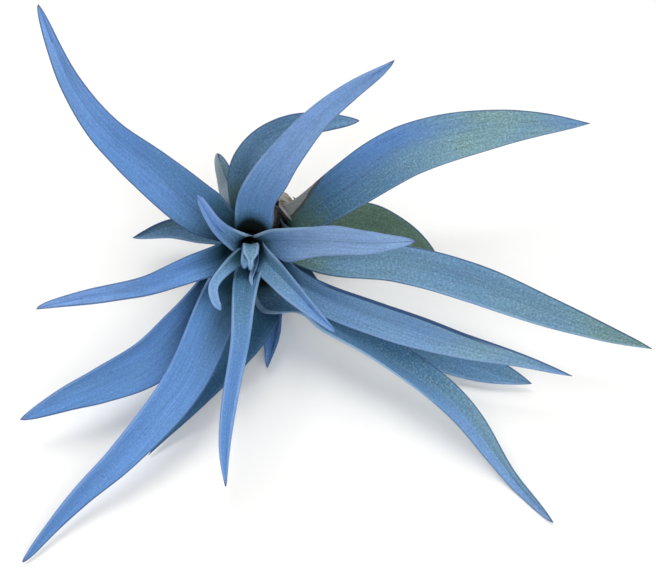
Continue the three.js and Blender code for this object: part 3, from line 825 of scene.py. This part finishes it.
def leaf_marks(each, share, distance, length, reach, u):
    """What the leaf's material reads at each point of the skin, in millimetres: how far across and along it
    is, how far from the margin, past the sheath's exit and from the tip, and how far past the edges of the
    painted shadow in the mouth and of the dry band. Inner is 1 on the inner face, and the rest are the
    leaf's own looks."""
    exit_at = each["exit"] - each["root"]
    round_u = np.concatenate([u, u[1:-1][::-1]])
    ring_half = np.concatenate([reach, reach[:, 1:-1][:, ::-1]], 1)
    # The arched edge of the painted shadow in the mouth
    arch = MOUTH_SHADOW_ARCH * np.abs(round_u - ARCH_AT) ** ARCH_POWER
    marks = {
        "across": round_u * ring_half,
        "along": distance[:, None] * np.ones_like(round_u),
        "margin": (1 - np.abs(round_u)) * ring_half,
        "inner": np.concatenate([np.zeros(COLUMNS + 1), np.ones(COLUMNS - 1)]) * np.ones_like(ring_half),
        "past_exit": (distance - exit_at)[:, None] * np.ones_like(round_u),
        "to_tip": (length - distance)[:, None] * np.ones_like(round_u),
        "past_deep": (distance - exit_at - each.get("deep", 0))[:, None] + arch,
        "dry_within": (1 + round_u) * ring_half - course(each.get("dry_band", -2), share)[:, None],
    }
    for look, usual in (("bloom", 0), ("dusk", 0), ("green", 0), ("olive", 0), ("shade", 0), ("rib", 0.25)):
        marks[look] = over_ring(each.get(look, usual), share, smooth(-0.6, 0.6, round_u))
    for look, usual in (("edge", 0), ("lip", -1)):
        marks[look] = over_ring(each.get(look, usual), share, round_u > 0)
    return marks


def leaf_skin(each, rng):
    """The leaf's closed skin and the marks its material reads. The outer face is its cross-section carried
    along the middle line. The inner face lies off it by the thickness, which thins out to the margins as
    (1 - u^4)^0.5. What would sink into the floor is raised to just above it, the inner face a bit more."""
    points, ways, normals, length = middle_line(each)
    share = np.linspace(0, 1, ROWS + 1)
    distance = share * length
    exit_at = each["exit"] - each["root"]
    open_ = smooth(exit_at * OPENING_START, exit_at + OPENING_LENGTH, distance)
    wrap_radius = lerp(each["root_radius"], each["exit_radius"], np.minimum(distance / exit_at, 1))
    wraps, reaches = halves(each, share, distance, length, wrap_radius, open_)
    u = np.sin(np.linspace(-math.pi / 2, math.pi / 2, COLUMNS + 1))
    wrap = np.where(u < 0, wraps[0][:, None], wraps[1][:, None])
    reach = np.where(u < 0, reaches[0][:, None], reaches[1][:, None])
    half = np.minimum(*reaches)
    roll = course(each.get("roll", 0), share) * DEG * open_
    sideways = np.cross(ways, normals)
    normal = normals * np.cos(roll)[:, None] - sideways * np.sin(roll)[:, None]
    sideways = np.cross(ways, normal)

    x, y, slope = section(each, share, open_, wrap, reach, u)
    broad_enough = np.minimum(half, WAVE_HALF_WIDTH)[:, None]
    y += ripple(rng, distance, u) * open_[:, None] * broad_enough / WAVE_HALF_WIDTH
    thick = lerp(SHEATH_SKIN, BLADE_THICKNESS, open_) * np.minimum(half / THICK_HALF_WIDTH, 1)
    thick = thick[:, None] * np.sqrt(np.maximum(1 - u**4, 0))

    def face(lift):
        across = x - lift * np.sin(slope)
        up = y + lift * np.cos(slope)
        return points[:, None] + across[..., None] * sideways[:, None] + up[..., None] * normal[:, None]

    outer = face(0 * thick)
    inner = face(thick)[:, 1:-1][:, ::-1]
    ring = np.concatenate([outer, inner], 1)
    lowest = np.where(np.arange(ring.shape[1]) > COLUMNS, INNER_FACE_RISE, OUTER_FACE_RISE)
    ring[..., 2] = np.maximum(ring[..., 2], lowest)
    return ring, leaf_marks(each, share, distance, length, reach, u)


def wall_faces(rows, around):
    """Quads between neighbouring rings."""
    i, j = np.meshgrid(np.arange(rows), np.arange(around), indexing="ij")
    nxt = (j + 1) % around
    walls = np.stack([i * around + j, i * around + nxt, (i + 1) * around + nxt, (i + 1) * around + j], -1)
    return walls.reshape(-1, 4)


def end_faces(rows, around, columns):
    """Quads across the first and last ring, from each point of the outer face to its inner partner."""
    k = np.arange(columns)
    inner_a = (around - k) % around
    inner_b = np.where(k + 1 == columns, columns, around - k - 1)
    first = np.stack([k + 1, k, inner_a, inner_b], -1)
    return np.concatenate([first, first[:, ::-1] + rows * around])


def mesh_of(name, positions, quads, marks=None):
    """A mesh from arrays of points in millimetres and quads, with a number at each point for each mark."""
    faces = [[v for n, v in enumerate(q) if v not in q[:n]] for q in quads.tolist()]
    mesh = bpy.data.meshes.new(name)
    mesh.from_pydata((positions.reshape(-1, 3) * MM).tolist(), [], faces)
    mesh.polygons.foreach_set("use_smooth", np.ones(len(faces), bool))
    for mark, values in (marks or {}).items():
        attribute = mesh.attributes.new(mark, "FLOAT", "POINT")
        attribute.data.foreach_set("value", np.asarray(values, np.float32).ravel())
    mesh.validate()
    piece = bpy.data.objects.new(name, mesh)
    bpy.context.scene.collection.objects.link(piece)
    return piece


class Value:
    """A number or colour that varies over a surface. Arithmetic on it adds Math nodes."""

    def __init__(self, sheet, socket):
        self.sheet = sheet
        self.socket = socket

    def maths(self, operation, *values):
        return self.sheet.node("ShaderNodeMath", {"operation": operation}, dict(enumerate(values)))

    def __add__(self, other):
        return self.maths("ADD", self, other)

    def __sub__(self, other):
        return self.maths("SUBTRACT", self, other)

    def __rsub__(self, other):
        return self.maths("SUBTRACT", other, self)

    def __mul__(self, other):
        return self.maths("MULTIPLY", self, other)

    __radd__ = __add__
    __rmul__ = __mul__

    def size(self):
        return self.maths("ABSOLUTE", self)

    def clamped(self):
        return self.sheet.node("ShaderNodeClamp", {}, {0: self})

    def rise(self, low, high):
        """0 below low and 1 above high, with a smooth step between."""
        settings = {"interpolation_type": "SMOOTHSTEP"}
        return self.sheet.node("ShaderNodeMapRange", settings, {0: self, 1: low, 2: high, 3: 0.0, 4: 1.0})


class Sheet:
    """The nodes of a material or a world, made one at a time."""

    def __init__(self, owner):
        owner.use_nodes = True
        self.owner = owner
        self.tree = owner.node_tree

    def node(self, kind, settings, inputs, output=0):
        """Adds a node: its settings first, then a value or a link at each of its inputs."""
        made = self.tree.nodes.new(kind)
        for name, value in settings.items():
            setattr(made, name, value)
        for key, value in inputs.items():
            socket = made.inputs[key]
            if isinstance(value, Value):
                self.tree.links.new(value.socket, socket)
            else:
                socket.default_value = value
        return Value(self, made.outputs[output])

    def mark(self, name):
        return self.node("ShaderNodeAttribute", {"attribute_name": name}, {}, "Fac")

    def place(self, x, y, z=0.0):
        return self.node("ShaderNodeCombineXYZ", {}, {0: x, 1: y, 2: z})

    def object_place(self):
        return self.node("ShaderNodeTexCoord", {}, {}, "Object")

    def noise(self, place, scale, detail=3.0, rough=0.5):
        inputs = {"Vector": place, "Scale": scale, "Detail": detail, "Roughness": rough}
        return self.node("ShaderNodeTexNoise", {}, inputs)

    def tint(self, share, under, over):
        """A colour share of the way from under to over."""
        inputs = {0: share, 6: under, 7: over}
        return self.node("ShaderNodeMix", {"data_type": "RGBA"}, inputs, 2)

    def shaded(self, colour, factor):
        """A colour times a number that varies."""
        grey = self.node("ShaderNodeCombineColor", {}, {0: factor, 1: factor, 2: factor})
        settings = {"data_type": "RGBA", "blend_type": "MULTIPLY"}
        return self.node("ShaderNodeMix", settings, {0: 1.0, 6: colour, 7: grey}, 2)

    def finish(self, colour, roughness, height=None, depth=0.1 * MM, shine=0.5):
        shader = self.tree.nodes["Principled BSDF"]
        for name, value in (("Base Color", colour), ("Roughness", roughness)):
            if isinstance(value, Value):
                self.tree.links.new(value.socket, shader.inputs[name])
            else:
                shader.inputs[name].default_value = value
        shader.inputs["Specular IOR Level"].default_value = shine
        if height is not None:
            bump = self.node("ShaderNodeBump", {}, {"Strength": 1.0, "Distance": depth, "Height": height})
            self.tree.links.new(bump.socket, shader.inputs["Normal"])
        return self.owner


def paint(red, green, blue):
    """A screen colour from 0 to 255 as linear light."""
    parts = [c / 255 for c in (red, green, blue)]
    return tuple(c / 12.92 if c <= 0.04045 else ((c + 0.055) / 1.055) ** 2.4 for c in parts) + (1.0,)


BLUE = paint(98, 143, 205)
SILVER_GREEN = paint(128, 164, 168)
# Dusky blue: the leaves' darker tone, partly painted shade near the crown
DUSK = paint(62, 108, 142)
OLIVE = paint(108, 136, 116)
# Painted shadow in the mouth of a leaf
MOUTH_SHADOW_BLACK = paint(10, 20, 18)
# Painted shade: the dark teal of leaf bases in shadow, also the first step of the painted shadow in the mouth
SHADE_TEAL = paint(14, 50, 52)
MAUVE = paint(136, 128, 160)
# A pale blue for the margins' own pale line and for the painted highlight on a turned lip
PALE_LIP = paint(146, 178, 206)
# Painted shade for a margin rolled away from the light
SHADE_SLATE = paint(58, 84, 120)
BARK = paint(74, 66, 58)
FELT = paint(130, 134, 134)
PALE_FELT = paint(176, 174, 170)
LAVENDER = paint(140, 170, 220)
# Painted shade at the very edge of a leaf
SHADED_RIM = paint(54, 80, 120)
SILVER = paint(166, 190, 206)


def blade_colour(sheet, greenness, noises):
    """Blue or lavender, with silver green, dusky blue and olive over it by the leaf's own courses of each,
    in drifting patches, and silver on the outer face. The dusky blue is partly painted shade near the
    crown. Silvery scales speckle it, most where it is green. Veins, scales and clouds lighten and darken it,
    and it is painted a little darker near the crown as shade. Painted shade darkens the crease along its
    middle, and painted shade lies over its base."""
    veins, scales, cloud = noises["veins"], noises["scales"], noises["cloud"]
    colour = sheet.tint(greenness, sheet.tint(sheet.mark("bloom"), BLUE, LAVENDER), SILVER_GREEN)
    # Dusky blue by the dusk course: the leaf's own darker tone, partly painted shade near the crown
    colour = sheet.tint(sheet.mark("dusk") + (cloud - 0.5) * 0.7, colour, DUSK)
    colour = sheet.tint((sheet.mark("olive") + (cloud - 0.5) * 0.7).rise(0.1, 0.9), colour, OLIVE)
    colour = sheet.tint((1 - sheet.mark("inner")) * 0.3, colour, SILVER)
    colour = sheet.tint(noises["flecks"] * (0.1 + 0.34 * greenness), colour, SILVER)
    light = 1 + (veins - 0.5) * 0.8 + (scales - 0.5) * (0.9 + 1.8 * greenness) + (cloud - 0.5) * 0.5
    # Painted shade: a little darker close to the crown
    light = light * (0.85 + 0.15 * sheet.mark("past_exit").rise(0.0, 12.0))
    # Painted shade in the crease along the middle
    middle = 1 - sheet.mark("across").size().rise(0.05, 0.35)
    rib = middle * sheet.mark("rib") * noises["drift"].rise(0.25, 0.5)
    colour = sheet.shaded(colour, light * (1 - 0.35 * rib))
    # Painted shade over the base and beside overlapping leaves, by the leaf's shade course
    return sheet.tint((sheet.mark("shade") * (0.75 + 0.5 * cloud)).clamped(), colour, SHADE_TEAL)


def with_margins(sheet, colour, greenness, noises):
    """Adds a pale line at the margin, or a slate line of painted shade where edge is below 0, a mauve tip,
    and a dark rim of painted shade at the very edge.
    """
    margin = sheet.mark("margin")
    past_exit = sheet.mark("past_exit")
    to_tip = sheet.mark("to_tip")
    edge = sheet.mark("edge") * past_exit.rise(2.0, 9.0) * to_tip.rise(0.3, 2.5)
    pale = (1 - margin.rise(0.4, 0.7)) * edge.rise(0.0, 1.0) * noises["drift"].rise(0.15, 0.6)
    colour = sheet.tint(pale * 0.65, colour, sheet.tint(greenness, LAVENDER, PALE_LIP))
    # Painted shade: a slate line where edge is below 0, for a margin rolled away from the light
    dark = (1 - margin.rise(0.8, 1.2)) * (0 - edge).rise(0.0, 1.0)
    colour = sheet.tint(dark, colour, SHADE_SLATE)
    colour = sheet.tint((1 - to_tip.rise(0.3, 2.6)) * past_exit.rise(40, 60) * 0.5, colour, MAUVE)
    # Painted shade: a dark rim at the very edge
    return sheet.tint((1 - margin.rise(0.15, 0.42)) * (0.85 - 0.75 * edge), colour, SHADED_RIM)


def with_base(sheet, colour, noises, felted_outside):
    """Adds the leaf's base: bark and felt on the outside of an old leaf, painted shade in the mouth, teal and
    then nearly black, a painted highlight on its turned lip, and a dry felted band along the left margin.
    Gives how much of it is painted mouth shadow too."""
    veins, cloud = noises["veins"], noises["cloud"]
    past_exit = sheet.mark("past_exit")
    outer = 1 - sheet.mark("inner")
    old = (1 - past_exit.rise(-4.0, 5.0)) * outer * 0.8 * felted_outside
    colour = sheet.tint(old, colour, sheet.tint(veins.rise(0.4, 0.6), BARK, FELT))
    # Painted shade in the mouth: deep teal, then nearly black, where the cavity lies in shadow
    past_deep = sheet.mark("past_deep") + (cloud - 0.5) * 1.2
    can_be_deep = 1 - outer * felted_outside
    colour = sheet.tint((1 - past_deep.rise(-1.0, 4.5)) * can_be_deep * 0.7, colour, SHADE_TEAL)
    mouth = (1 - past_deep.rise(-1.2, 1.3)) * can_be_deep
    colour = sheet.tint(mouth, colour, MOUTH_SHADOW_BLACK)
    # Painted highlight: a pale lip where a margin turns up to the light
    lip = 1 - (sheet.mark("margin") - sheet.mark("lip")).rise(-0.25, 0.15)
    colour = sheet.tint(lip * 0.85, colour, PALE_LIP)

    dry_within = sheet.mark("dry_within") + (cloud - 0.5) * 1.6
    colour = sheet.tint((1 - dry_within.rise(0.2, 1.2)) * 0.8, colour, BARK)
    felt = (1 - dry_within.rise(-0.5, 0.1)) * past_exit.rise(-1.0, 2.0)
    felted = sheet.tint(noises["flecks"], FELT, PALE_FELT)
    colour = sheet.tint(felt, colour, sheet.tint(sheet.mark("bloom") * 0.5, felted, SILVER))
    return colour, mouth


def leaf_material(name, number):
    """A leaf's skin: its blade's colour, margins and base, over noises stretched along the leaf and set
    apart by its number. Fine veins and scales are its bump, and it is rougher where the mouth's shadow
    is painted."""
    sheet = Sheet(bpy.data.materials.new(name))
    across = sheet.mark("across")
    along = sheet.mark("along")
    green = sheet.mark("green")
    drift = sheet.noise(sheet.place(along * 0.06, across * 0.14, 7.3 * number), 1.0, 2.0)
    cloud = sheet.noise(sheet.place(along * 0.22, across * 0.4, 3.1 * number), 1.0, 3.0, 0.6)
    veins = sheet.noise(sheet.place(across * 1.7, along * 0.05, number), 1.0, 4.0, 0.7)
    scales = sheet.noise(sheet.place(across * 1.6, along * 1.3, number), 1.0, 4.0, 0.8)
    flecks = scales.rise(0.5, 0.72)
    noises = {"drift": drift, "cloud": cloud, "veins": veins, "scales": scales, "flecks": flecks}
    greenness = (green + (drift - 0.5) * 0.7 * (green + 0.25)).clamped()
    colour = blade_colour(sheet, greenness, noises)
    colour = with_margins(sheet, colour, greenness, noises)
    colour, mouth = with_base(sheet, colour, noises, float(number >= FIRST_FELTED))
    return sheet.finish(colour, 0.62 + mouth * 0.35, veins * 0.8 + scales * 0.5, 0.12 * MM, shine=0.15)


def dry_material():
    """Dry leaf base: brown-grey and felted, with darker flecks in the felt and a brown tip."""
    sheet = Sheet(bpy.data.materials.new("dry leaf base"))
    place = sheet.object_place()
    felt = sheet.noise(place, 1400.0, 4.0, 0.7)
    patches = sheet.noise(place, 260.0, 2.0)
    colour = sheet.tint(patches.rise(0.35, 0.65), paint(132, 128, 124), paint(162, 156, 152))
    colour = sheet.tint(felt.rise(0.5, 0.75) * 0.5, colour, paint(98, 88, 80))
    colour = sheet.tint((1 - sheet.mark("to_tip").rise(0.1, 0.7)) * 0.7, colour, paint(84, 64, 52))
    return sheet.finish(colour, 0.9, felt, 0.3 * MM)


def stem_material():
    """Dry stem: brown fibres that run round it in the scars of old leaves."""
    sheet = Sheet(bpy.data.materials.new("dry stem"))
    place = sheet.object_place()
    fibres = sheet.noise(place, 900.0, 5.0, 0.65)
    patches = sheet.noise(place, 200.0, 3.0)
    colour = sheet.tint(patches.rise(0.3, 0.7), paint(146, 139, 131), paint(176, 169, 159))
    colour = sheet.tint(fibres.rise(0.5, 0.7) * 0.6, colour, paint(104, 90, 78))
    return sheet.finish(colour, 0.95, fibres, 0.35 * MM)


def stem_points(rows=70, around=96):
    """The stem turned about its axis: a half-round butt below, then the narrowing dome, with rings of scars
    where leaves grew, as a sine of the height, and a rough surface from sines round it."""
    t = np.linspace(0, 1, rows + 1)
    below = 0.22
    tilt = np.clip(t / below, 0, 1) * math.pi / 2
    height = np.where(t < below, -STEM_BUTT * np.cos(tilt), (t - below) / (1 - below) * STEM_LENGTH)
    radius = np.where(t < below, STEM_RADIUS * np.sin(tilt), stem_radius_at(height))
    turn = np.linspace(0, 2 * math.pi, around, endpoint=False)
    scars = 0.12 * np.sin(height * 4.2)[:, None] * np.ones(around)
    rough = 0.1 * np.sin(7 * turn + height[:, None] * 1.3) + 0.07 * np.sin(17 * turn - 2 * height[:, None])
    fade = smooth(0, 0.1, t)[:, None] * (1 - smooth(0.9, 1, t))[:, None]
    r = radius[:, None] + (scars + rough - 0.15) * fade
    ring = (
        butt
        + height[:, None, None] * axis
        + (r * np.cos(turn))[..., None] * side
        + (r * np.sin(turn))[..., None] * back
    )
    ring[..., 2] = np.maximum(ring[..., 2], 0)
    return ring


def make_stem():
    ring = stem_points()
    piece = mesh_of("stem_wood", ring, wall_faces(ring.shape[0] - 1, ring.shape[1]))
    piece.data.materials.append(stem_material())
    return piece


def turn_outwards(piece):
    """Merges doubles and turns the faces out."""
    shape = bmesh.new()
    shape.from_mesh(piece.data)
    bmesh.ops.remove_doubles(shape, verts=shape.verts, dist=1e-7)
    bmesh.ops.recalc_face_normals(shape, faces=shape.faces)
    shape.to_mesh(piece.data)
    shape.free()


def light_studio(world):
    """Even light from all round, cool above and in front, and warm low down behind."""
    sky = Sheet(world)
    background = sky.tree.nodes["Background"]
    way = sky.node("ShaderNodeTexCoord", {}, {}, "Generated")
    apart = sky.node("ShaderNodeSeparateXYZ", {}, {0: way}, "Y")
    tall = sky.node("ShaderNodeSeparateXYZ", {}, {0: way}, "Z")
    warmth = apart.rise(-0.5, 0.6) * (1 - tall.rise(0.0, 0.8))
    colour = sky.tint(warmth, (0.985, 0.995, 1.0, 1.0), (1.0, 0.8, 0.6, 1.0))
    sky.tree.links.new(colour.socket, background.inputs[0])
    background.inputs[1].default_value = SKY_STRENGTH


rng = np.random.default_rng(SEED)
faces = np.concatenate([wall_faces(ROWS, 2 * COLUMNS), end_faces(ROWS, 2 * COLUMNS, COLUMNS)])
for number, each in enumerate(wrapped(LEAVES)):
    ring, marks = leaf_skin(each, rng)
    piece = mesh_of(each["name"] + "_skin", ring, faces, marks)
    turn_outwards(piece)
    if each.get("dry"):
        piece.data.materials.append(dry_material())
    else:
        piece.data.materials.append(leaf_material(each["name"] + " skin", number))
    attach(piece, "root")
    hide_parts(each["name"])

stem = make_stem()
turn_outwards(stem)
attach(stem, "root")
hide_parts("stem")

# The floor, the light and the camera
floor_mesh = bpy.data.meshes.new("floor")
corners = [(x * FLOOR_HALF, y * FLOOR_HALF, 0) for x, y in ((-1, -1), (1, -1), (1, 1), (-1, 1))]
floor_mesh.from_pydata(corners, [], [(0, 1, 2, 3)])
floor = bpy.data.objects.new("floor", floor_mesh)
bpy.context.scene.collection.objects.link(floor)
floor_sheet = Sheet(bpy.data.materials.new("pale floor"))
floor_mesh.materials.append(floor_sheet.finish(paint(254, 253, 251), 0.9))

world = bpy.data.worlds.new("studio")
bpy.context.scene.world = world
light_studio(world)

for name, (watts, colour, size, stand, tilt) in LAMPS.items():
    lamp = bpy.data.lights.new(name, "AREA")
    lamp.energy = watts
    lamp.color = colour
    lamp.size = size
    soft_box = bpy.data.objects.new(name, lamp)
    soft_box.location = stand
    soft_box.rotation_euler = (tilt[0] * DEG, tilt[1] * DEG, 0)
    bpy.context.scene.collection.objects.link(soft_box)

lens = bpy.data.cameras.new("camera")
lens.sensor_width = FILM
lens.lens = FILM * LOOK_FROM / PICTURE_WIDTH
lens.clip_end = FAR_CLIP
camera = bpy.data.objects.new("camera", lens)
eye = (CROWN + AIM_ACROSS * view_right + AIM_UP * view_up + LOOK_FROM * to_eye) * MM
camera.matrix_world = Matrix.Translation(eye) @ Matrix((view_right, view_up, to_eye)).transposed().to_4x4()
bpy.context.scene.collection.objects.link(camera)
bpy.context.scene.camera = camera
bpy.context.scene.view_settings.view_transform = "Standard"
